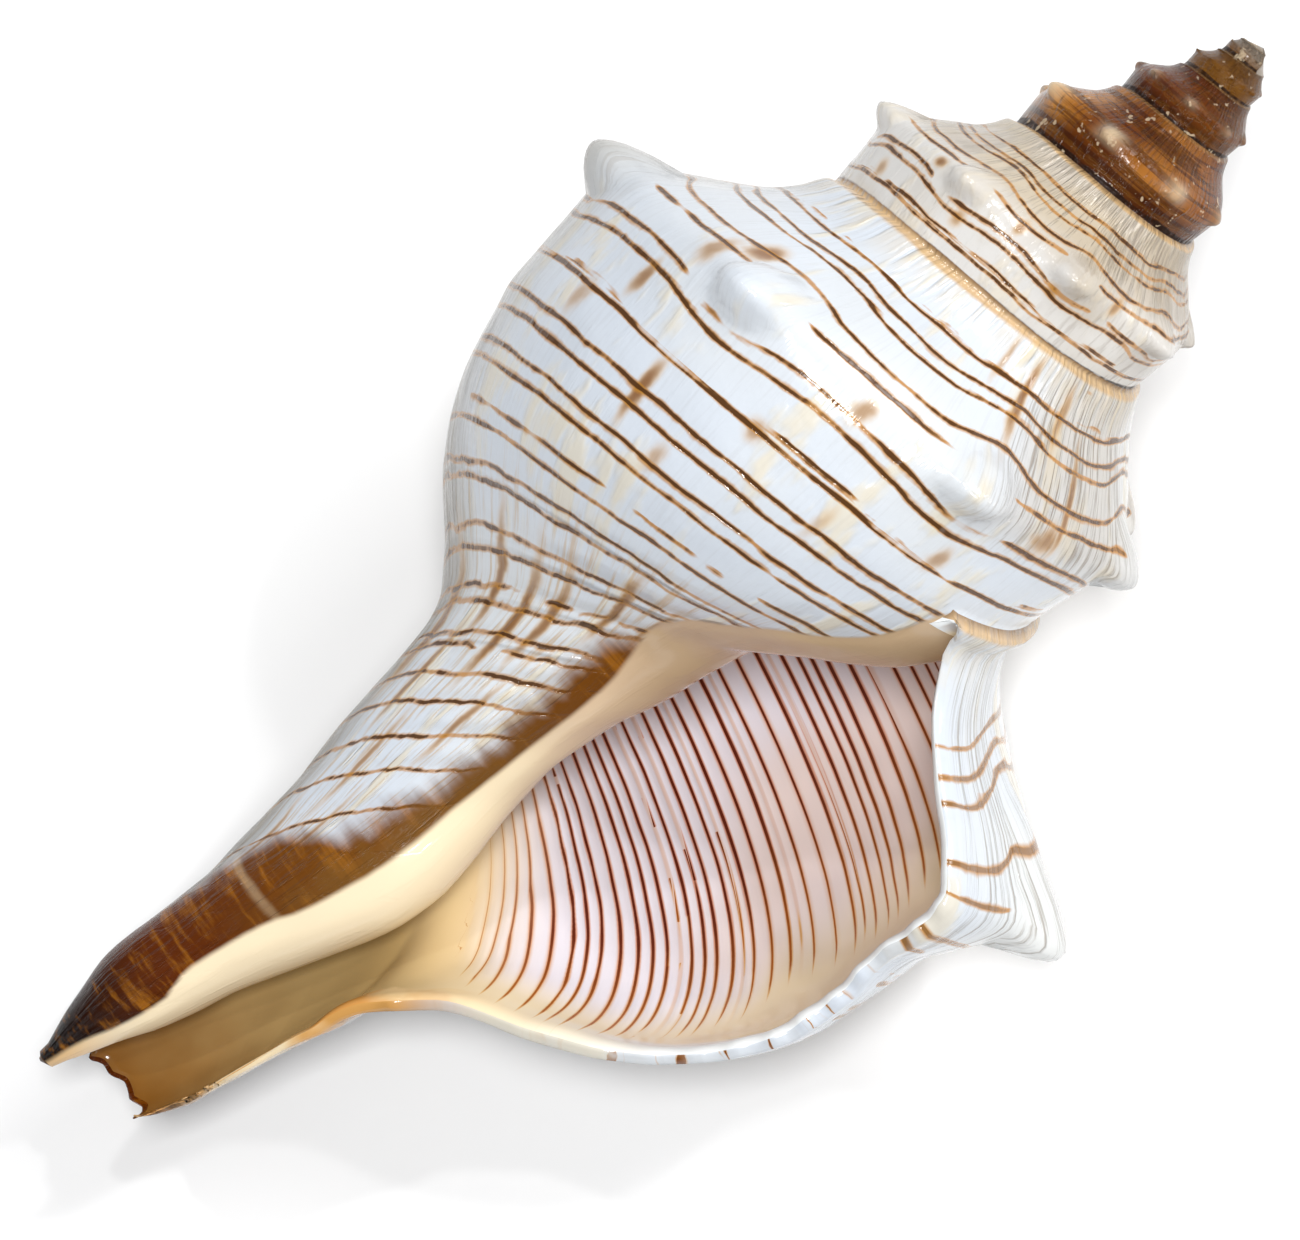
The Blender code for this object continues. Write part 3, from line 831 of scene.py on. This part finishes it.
amber = b.fall(b.plus(turn, b.times(b.less(mottle, 0.5), 0.3)), -2.42, -2.16)
third_whorl = b.rise(turn, -3.2, -2.5)
patches = b.rise(mottle, 0.38, 0.66)
darker = b.blend(third_whorl, CHESTNUT, GOLDEN_CHESTNUT)
lighter = b.blend(third_whorl, AMBER, GOLDEN_AMBER)
amber_tone = b.blend(patches, darker, lighter)
amber_tone = b.blend(b.times(streaks["Fine"], 0.5), amber_tone, STREAK_BROWN)
bands = b.cloud(b.point(b.times(turn, 3), b.times(station, 0.35), 2.0), 1.0, 2.0)
amber_tone = b.blend(b.times(b.rise(bands, 0.5, 0.56), 0.7), amber_tone, BANDED_BROWN)
# Painted shade: dark brown in the hollow between each whorl's knobs and the suture below
amber_tone = b.blend(b.times(b.rise(station, 80, 88), 0.7), amber_tone, HOLLOW_SHADE_BROWN)
pale_knob = b.times(b.rise(station, 68, 72), b.fall(station, 77, 82))
near_top = b.sum("POWER", b.mark("knob"), 2.5)
pale_knob = b.times(b.times(pale_knob, near_top), b.plus(0.25, b.times(third_whorl, 0.6)))
amber_tone = b.blend(pale_knob, amber_tone, PALE_KNOB)
amber_tone = b.blend(b.fall(turn, -4.4, -3.7), amber_tone, APEX_OLIVE)
worn_tip = b.fall(b.plus(drop, b.times(mottle, 2.5)), 2.6, 4.6)
amber_tone = b.blend(worn_tip, amber_tone, WORN_GREY)
tone = b.blend(amber, tone, amber_tone)

# Stains and lines, with a tan cord along the suture
STAIN_OCHRE = colour(194, 150, 82)
STAIN_BROWN = colour(120, 72, 22)
CORD_TAN = colour(204, 166, 112)
STROKE_OCHRE = colour(182, 124, 40)
CORE_BROWN = colour(66, 34, 4)

stain = 0.0
ragged = b.times(b.less(b.cloud(where, 200, 3.0, 0.6), 0.5), 1.7)
for at_turn, half_turn, at_station, half_station, strong in STAINS:
    spot = b.group(
        stain_patch, Turn=turn, Station=station, Ragged=ragged, At_turn=at_turn, Half_turn=half_turn,
        At_station=at_station, Half_station=half_station, Strength=strong,
    )["Stain"]
    stain = b.sum("MAXIMUM", stain, spot)
tone = b.blend(b.times(b.rise(stain, 0.0, 0.8), 0.7), tone, STAIN_OCHRE)
tone = b.blend(b.times(b.rise(stain, 0.35, 1.05), 0.85), tone, STAIN_BROWN)

cord = b.fall(b.plus(station, b.times(mottle, 1.6)), 54.3, 55.3)
tone = b.blend(b.times(cord, b.less(0.85, b.times(amber, 0.6))), tone, CORD_TAN)
stroke = b.times(lines["Stroke"], b.less(0.9, b.plus(b.times(older, 0.1), b.times(on_neck, 0.15))))
stroke = b.times(stroke, b.less(1.0, b.times(amber, 0.9)))
tone = b.blend(stroke, tone, STROKE_OCHRE)
core = b.times(lines["Core"], b.less(0.92, b.times(b.rise(turn, -0.2, -0.1), 0.4)))
core = b.times(core, b.less(1.0, b.times(amber, 0.55)))
tone = b.blend(core, tone, CORE_BROWN)

# Dirt in the groove above the suture, nearly black on the right of the earlier whorls
DIRT_BROWN = colour(96, 60, 28)
DIRT_BLACK = colour(30, 16, 8)
CRACK_BROWN = colour(96, 64, 34)
CHALK_AND_GLINT_SPECK = colour(214, 192, 160)

crumbs = b.less(b.cloud(where, 160, 4.0, 0.7), 0.5)
groove = b.plus(station, b.times(crumbs, b.plus(1.5, b.times(b.fall(turn, -2.3, -1.95), 5.0))))
edge_at = b.less(94.3, b.times(b.fall(turn, -2.2, -1.9), 1.6))
dirt = b.times(b.rise(groove, b.less(edge_at, 0.8), edge_at), b.fall(turn, -1.25, -1.05))
dirt = b.times(dirt, b.plus(0.5, b.times(b.rise(grit, 0.35, 0.5), 0.5)))
thick_dirt = b.times(dirt, 0.9)
dirt_tone = b.blend(b.fall(turn, -2.0, -1.8), DIRT_BROWN, DIRT_BLACK)
tone = b.blend(thick_dirt, tone, dirt_tone)
crack = b.fall(b.plus(station, b.times(mottle, 0.9)), 53.2, 53.9)
tone = b.blend(b.times(crack, 0.75), tone, CRACK_BROWN)
# Pale specks on the amber spire: partly chalky specks, partly painted glints for its sparkle
specks_and_glints = b.times(b.rise(grit, 0.64, 0.7), b.times(amber, 0.55))
tone = b.blend(specks_and_glints, tone, CHALK_AND_GLINT_SPECK)

# Pillar band: flames of brown that close into a glossy chestnut canal, nearly black at its end
BAND_TAWNY = colour(108, 62, 12)
BAND_CHESTNUT = colour(86, 36, 2)
TIP_BLACK = colour(14, 3, 1)
GRAIN_GOLD = colour(172, 108, 28)
RING_CREAM = colour(214, 190, 150)
SHADE_BROWN = colour(112, 76, 32)

flames = b.cloud(b.point(b.times(turn, 6), b.times(drop, 0.5)), 1.0, 2.0, 0.5)
lumps = b.cloud(where, 300, 2.0)
reach = b.plus(b.times(b.less(flames, 0.5), 3.0), b.times(b.less(lumps, 0.5), 1.2))
band = b.rise(b.plus(b.mark("to_band"), reach), -2.4, 1.4)
grain = b.cloud(b.point(b.times(turn, 5), b.times(drop, 0.75)), 1.0, 4.0, 0.6)
towards_canal = b.rise(b.plus(drop, b.times(mottle, 10)), 118, 136)
band_tone = b.blend(towards_canal, BAND_TAWNY, BAND_CHESTNUT)
towards_tip = b.rise(b.plus(drop, b.times(mottle, 8)), 136, 151)
band_tone = b.blend(b.times(towards_tip, b.fall(turn, -0.66, -0.5)), band_tone, TIP_BLACK)
band_tone = b.blend(b.times(b.rise(grain, 0.48, 0.7), 0.6), band_tone, GRAIN_GOLD)
ring = b.sum("ABSOLUTE", b.less(b.plus(drop, b.times(b.less(mottle, 0.5), 3)), 122.6))
ring = b.times(b.fall(ring, 0.1, 0.8), b.fall(turn, -0.6, -0.45))
band_tone = b.blend(b.times(ring, 0.3), band_tone, RING_CREAM)
tone = b.blend(band, tone, band_tone)
shade = b.times(b.rise(b.plus(b.mark("to_callus"), b.times(b.less(flames, 0.5), 4.0)), -4.0, -0.5), 0.8)
shade = b.times(shade, b.rise(drop, 84, 100))
shade_tone = b.blend(b.rise(drop, 112, 130), SHADE_BROWN, band_tone)
tone = b.blend(shade, tone, shade_tone)

# Callus: a thin creamy glaze laid over the pillar, tan where the brown shines through it
CALLUS_TAN = colour(196, 168, 134)
CALLUS_CREAM = colour(240, 222, 188)
CALLUS_ROSE = colour(236, 204, 176)
CALLUS_GOLD = colour(214, 176, 124)
SPOT_OCHRE = colour(196, 140, 60)
SPOT_BROWN = colour(120, 66, 20)
FLAKE_TAN = colour(198, 146, 78)
FLAKE_CREAM = colour(236, 214, 172)
FLAKE_BROWN = colour(104, 60, 18)

callus = b.rise(b.plus(b.mark("to_callus"), b.times(b.less(mottle, 0.5), 0.8)), -0.35, 0.35)
callus_tone = b.blend(b.rise(drop, 78, 100), CALLUS_TAN, CALLUS_CREAM)
callus_tone = b.blend(b.times(b.rise(soft, 0.45, 0.7), 0.6), callus_tone, CALLUS_ROSE)
callus_tone = b.blend(b.rise(drop, 140, 149), callus_tone, CALLUS_GOLD)
tone = b.blend(callus, tone, callus_tone)
along_rim = b.plus(b.times(station, 0.6), b.times(lumps, 1.2))
rim_spots = b.cloud(b.point(along_rim, 3.0, 1.0), 1.0, 2.0, 0.7)
at_rim = b.times(b.fall(b.plus(to_lip, b.times(lumps, 3.0)), 1.4, 2.2), b.rise(station, 85, 89))
spot = b.times(b.rise(rim_spots, 0.54, 0.6), b.fall(drop, 106, 113))
tone = b.blend(b.times(at_rim, spot), tone, SPOT_OCHRE)
tone = b.blend(b.times(at_rim, b.rise(spot, 0.8, 1.0)), tone, SPOT_BROWN)
flaky = b.fall(b.plus(to_lip, b.times(b.less(lumps, 0.5), 5)), 1.5, 3.0)
flaky = b.times(flaky, b.rise(drop, 112, 120))
flake_tone = b.blend(b.rise(mottle, 0.42, 0.6), FLAKE_TAN, FLAKE_CREAM)
flake_tone = b.blend(b.rise(b.plus(drop, b.times(mottle, 12)), 140, 152), flake_tone, FLAKE_BROWN)
tone = b.blend(flaky, tone, flake_tone)
b.feed(surface.inputs["Base Color"], tone)

# Gloss, and relief in millimetres: sunk lines, raised ribs and cords, hairlines and a little grain
POLISH = 0.1
SUNK_LINE = -0.04
RAISED_RIB = 0.12
HAIRLINE = 0.09
STREAK = 0.06
BROAD_SWELL = 0.12
NECK_CORD = 0.12
UNEVEN = 0.13
GRAIN = 0.006
DIRTY_GRAIN = 0.05
DENTS = 0.3

rough = b.plus(POLISH, b.times(grit, 0.06))
b.feed(surface.inputs["Roughness"], b.plus(rough, b.times(dirt, 0.2)))
brown = b.sum("MAXIMUM", b.times(amber, 0.7), b.times(band, b.times(b.less(1.0, callus), 0.7)))
brown = b.sum("MAXIMUM", brown, dirt)
b.feed(surface.inputs["Specular IOR Level"], b.less(0.5, b.times(brown, 0.42)))
relief = b.plus(b.times(lines["Core"], SUNK_LINE), b.times(b.times(streaks["Ribs"], ribbed), RAISED_RIB))
relief = b.plus(relief, b.times(b.times(streaks["Hair"], b.plus(hairy, b.times(older, ramp))), HAIRLINE))
relief = b.plus(relief, b.times(b.times(streaks["Fine"], b.plus(hairy, 0.4)), STREAK))
relief = b.plus(relief, b.times(streaks["Broad"], BROAD_SWELL))
cords = b.times(b.sum("COSINE", b.times(b.mark("line"), 2 * math.pi)), b.times(on_neck, -NECK_CORD))
relief = b.plus(relief, b.times(cords, b.less(1.0, b.sum("MAXIMUM", band, callus))))
relief = b.plus(relief, b.times(b.cloud(where, 200, 3.0, 0.6), UNEVEN))
relief = b.plus(relief, b.times(grit, b.plus(GRAIN, b.times(b.plus(amber, dirt), DIRTY_GRAIN))))
relief = b.plus(relief, b.times(b.times(mottle, amber), DENTS))
relief = b.times(relief, b.less(1.0, b.times(callus, 0.85)))
b.feed(surface.inputs["Normal"], b.node("ShaderNodeBump", 1.0, MILLIMETRE, None, relief))

# Glaze of the mouth: thin lavender porcelain with raised ridges between red-brown lines, a tan tint of
# painted shade deep inside, cream towards the lip and the canal, and a bare white rim.
MOUTH_LINE_WIDTH = 0.21
MOUTH_LINE_SUNK = -0.05
MOUTH_UNEVEN = 0.06
LAVENDER = colour(238, 234, 244)
ROSE_WHITE = colour(242, 226, 222)
LINE_ROSE = colour(230, 204, 194)
DEEP_SHADE_TAN = colour(206, 172, 150)
CREAM = colour(244, 226, 192)
CANAL_CREAM = colour(234, 208, 158)
CANAL_TAN = colour(184, 156, 104)
CANAL_BROWN = colour(128, 82, 28)
RIM_WHITE = colour(236, 239, 240)
EDGE_GOLD = colour(206, 138, 58)
EDGE_CREAM = colour(236, 206, 156)
STROKE_ORANGE = colour(208, 118, 66)
STROKE_GOLD = colour(222, 166, 84)
CORE_RED = colour(84, 14, 1)
CORE_GOLD = colour(164, 84, 20)

mouth_glaze, surface, b = new_finish("mouth glaze", 0.14)
where = b.node("ShaderNodeTexCoord", out=3)
turn, station, drop = b.mark("turn"), b.mark("station"), b.mark("drop")
to_lip, last = b.mark("to_lip"), b.mark("last")
soft = b.cloud(where, 25, 2.0)
mottle = b.cloud(where, 120, 3.0)
deep_part = b.fall(b.less(turn, last), -0.14, -0.01)
lines = b.group(
    spiral_lines, Line=b.mark("line"), Pace=b.mark("pace"), Strength=b.mark("strength"), Turn=turn,
    First=b.mark("first"), Last=last,
    Width=b.times(b.mark("strength"), b.plus(MOUTH_LINE_WIDTH, b.times(deep_part, 0.12))),
    Wobble=0.1, Broken=0.0, Beading=0.15, Core_share=1.0,
)
tone = b.blend(b.rise(soft, 0.4, 0.6), LAVENDER, ROSE_WHITE)
on_line = b.sum("COSINE", b.times(b.mark("line"), 2 * math.pi))
tone = b.blend(b.rise(on_line, -0.2, 1.0), tone, LINE_ROSE)
# Painted shade: a tan tint deep inside the mouth, where less light reaches
tone = b.blend(b.times(b.fall(turn, -0.5, -0.33), 0.2), tone, DEEP_SHADE_TAN)
ripe = b.rise(b.mark("past_lines"), -0.07, 0.0)
ripe = b.sum("MAXIMUM", ripe, b.rise(turn, -0.13, -0.08))
tone = b.blend(ripe, tone, CREAM)
canal_way = b.rise(b.less(drop, b.times(b.plus(turn, 0.3), 55)), 99, 107)
tone = b.blend(canal_way, tone, CANAL_CREAM)
deep_canal = b.rise(b.less(drop, b.times(b.plus(turn, 0.3), 40)), 106, 114)
tone = b.blend(deep_canal, tone, CANAL_TAN)
tone = b.blend(b.rise(b.plus(drop, b.times(mottle, 12)), 130, 156), tone, CANAL_BROWN)
rim = b.times(b.fall(b.plus(to_lip, b.times(b.less(mottle, 0.5), 1.2)), 1.6, 3.4), b.fall(drop, 100, 114))
tone = b.blend(rim, tone, RIM_WHITE)
flakes = b.cloud(where, 300, 3.0, 0.6)
tip_edge = b.fall(b.plus(to_lip, b.times(b.less(flakes, 0.5), 4)), 1.0, 2.2)
tip_edge = b.times(b.times(tip_edge, b.rise(drop, 110, 120)), 0.8)
edge_tone = b.blend(b.rise(mottle, 0.4, 0.6), EDGE_GOLD, EDGE_CREAM)
tone = b.blend(tip_edge, tone, edge_tone)
faint = b.rise(station, 117, 124)
late = b.rise(b.less(turn, last), -0.13, -0.02)
late = b.sum("MAXIMUM", late, faint)
stroke_tone = b.blend(late, STROKE_ORANGE, STROKE_GOLD)
tone = b.blend(b.times(lines["Stroke"], b.less(0.8, b.times(faint, 0.4))), tone, stroke_tone)
core_tone = b.blend(late, CORE_RED, CORE_GOLD)
tone = b.blend(b.times(lines["Core"], b.less(0.95, b.times(faint, 0.5))), tone, core_tone)
b.feed(surface.inputs["Base Color"], tone)
relief = b.times(b.times(on_line, b.less(1.0, ripe)), MOUTH_LINE_SUNK)
relief = b.plus(relief, b.times(mottle, MOUTH_UNEVEN))
b.feed(surface.inputs["Normal"], b.node("ShaderNodeBump", 1.0, MILLIMETRE, None, relief))

conch.data.materials.append(outer_glaze)
conch.data.materials.append(mouth_glaze)
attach(conch, "root")
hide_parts("shell")

# Studio floor: one sheet of matt pale card
FLOOR_HALF = 3.0
CARD_WHITE = (0.9, 0.9, 0.9, 1)
bm = bmesh.new()
bmesh.ops.create_grid(bm, x_segments=1, y_segments=1, size=FLOOR_HALF)
mesh = bpy.data.meshes.new("floor")
bm.to_mesh(mesh)
bm.free()
floor = bpy.data.objects.new("floor", mesh)
bpy.context.scene.collection.objects.link(floor)
card, surface, b = new_finish("pale card", 0.9)
surface.inputs["Base Color"].default_value = CARD_WHITE
floor.data.materials.append(card)

# Camera at the photograph's angle: a long lens, looking down into the mouth
CAMERA_DISTANCE = 0.7
LENS = 205.3
SENSOR = 36.0
VIEW_TILT = math.radians(5.0)
VIEW_TURN = math.radians(40.1)
AIM = Vector((4.76, 0.0, -77.4))
PIVOT = Vector((0.0, 0.0, -50.0))
to_world = seat @ settle @ lay
along = Vector((0, math.sin(VIEW_TILT), math.cos(VIEW_TILT)))
across = Vector((1, 0, 0))
towards = Vector((0, -math.cos(VIEW_TILT), math.sin(VIEW_TILT)))
eye = PIVOT + towards * CAMERA_DISTANCE * 1000
back = (eye - AIM).normalized()
up = math.sin(VIEW_TURN) * along - math.cos(VIEW_TURN) * across
right = up.cross(back).normalized()
up = back.cross(right)
turned = Matrix((right, up, back)).transposed()
camera_turn = to_world.to_3x3().normalized() @ turned
camera_data = bpy.data.cameras.new("camera")
camera_data.lens = LENS
camera_data.sensor_width = SENSOR
camera_data.sensor_fit = "HORIZONTAL"
camera_data.clip_start = 0.01
camera = bpy.data.objects.new("camera", camera_data)
camera.matrix_world = Matrix.Translation(to_world @ (eye / 1000)) @ camera_turn.to_4x4()
bpy.context.scene.collection.objects.link(camera)
bpy.context.scene.camera = camera

# Lights: soft boxes placed as seen from the camera, two of them small for the glints, and a pale room
ROOM_COLOUR = (0.95, 0.97, 1, 1)
ROOM_STRENGTH = 0.22


def soft_box(name, aside, above, forward, distance, across, power):
    """A square soft box turned to the shell, placed to the right, up and out of the picture."""
    lamp = bpy.data.lights.new(name, "AREA")
    lamp.energy = power
    lamp.size = across
    direction = (camera_turn @ Vector((aside, above, forward))).normalized()
    lamp_object = bpy.data.objects.new(name, lamp)
    lamp_object.location = direction * distance
    lamp_object.rotation_euler = direction.to_track_quat("Z", "Y").to_euler()
    bpy.context.scene.collection.objects.link(lamp_object)


soft_box("key", -0.03, 0.05, 1.0, 1.2, 0.22, 10)
soft_box("upper right", 0.5, 0.6, 0.8, 1.2, 0.45, 5)
soft_box("right", 0.9, 0.1, 0.35, 1.2, 0.25, 2)
soft_box("right glint", 0.45, 0.45, 1.0, 1.2, 0.05, 1.5)
soft_box("left glint", -0.35, 0.6, 1.0, 1.2, 0.05, 1.5)
world = bpy.data.worlds.new("room")
world.use_nodes = True
room = world.node_tree.nodes["Background"]
room.inputs["Color"].default_value = ROOM_COLOUR
room.inputs["Strength"].default_value = ROOM_STRENGTH
bpy.context.scene.world = world
bpy.context.scene.view_settings.view_transform = "Standard"
